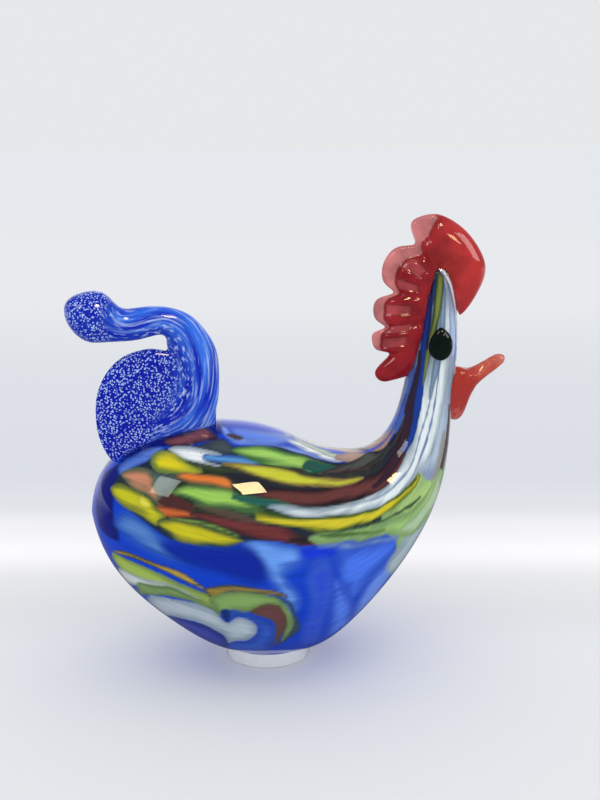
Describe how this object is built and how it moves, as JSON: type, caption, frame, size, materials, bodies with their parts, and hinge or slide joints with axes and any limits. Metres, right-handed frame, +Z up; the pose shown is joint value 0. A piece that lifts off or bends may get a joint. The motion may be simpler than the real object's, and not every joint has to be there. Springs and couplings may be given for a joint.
{
  "type": "glass rooster figurine",
  "caption": "Hand-blown cased glass rooster with melted colour streaks, red comb and beak, speckled curled tail and a clear foot pad.",
  "frame": {"origin": "centre of the clear pad's ground underside, on the resting plane", "axes": "+X the way the bird faces, +Y its left flank, +Z up"},
  "size_m": [0.2253, 0.1092, 0.2302],
  "materials": {
    "blue_glass": "glossy opaque cobalt glass",
    "clear_glass": "fire-polished clear glass",
    "red_glass": "fire-polished opaque red glass",
    "coral_glass": "fire-polished coral red glass",
    "dark_glass": "fire-polished near-black glass",
    "speckled_blue_glass": "cobalt glass with white speckles",
    "foot_glass": "clear glass, ground flat below",
    "yellow_glass": "glossy fused glass, opaque yellow",
    "orange_glass": "glossy fused glass, opaque orange",
    "green_glass": "glossy fused glass, opaque lime green",
    "white_glass": "glossy fused glass, opal white",
    "brown_glass": "glossy fused glass, dark red-brown",
    "swirl_glass": "glossy fused glass, olive green"
  },
  "bodies": {
    "root": {"colour_core": "blue_glass", "yellow_canes": "yellow_glass", "orange_canes": "orange_glass", "green_canes": "green_glass", "white_canes": "white_glass", "brown_canes": "brown_glass", "swirl_canes": "swirl_glass", "clear_casing": "clear_glass", "comb": "red_glass", "beak": "coral_glass", "eye_right": "dark_glass", "eye_left": "dark_glass", "tail": "speckled_blue_glass", "clear_foot": "foot_glass"}
  },
  "joints": []
}
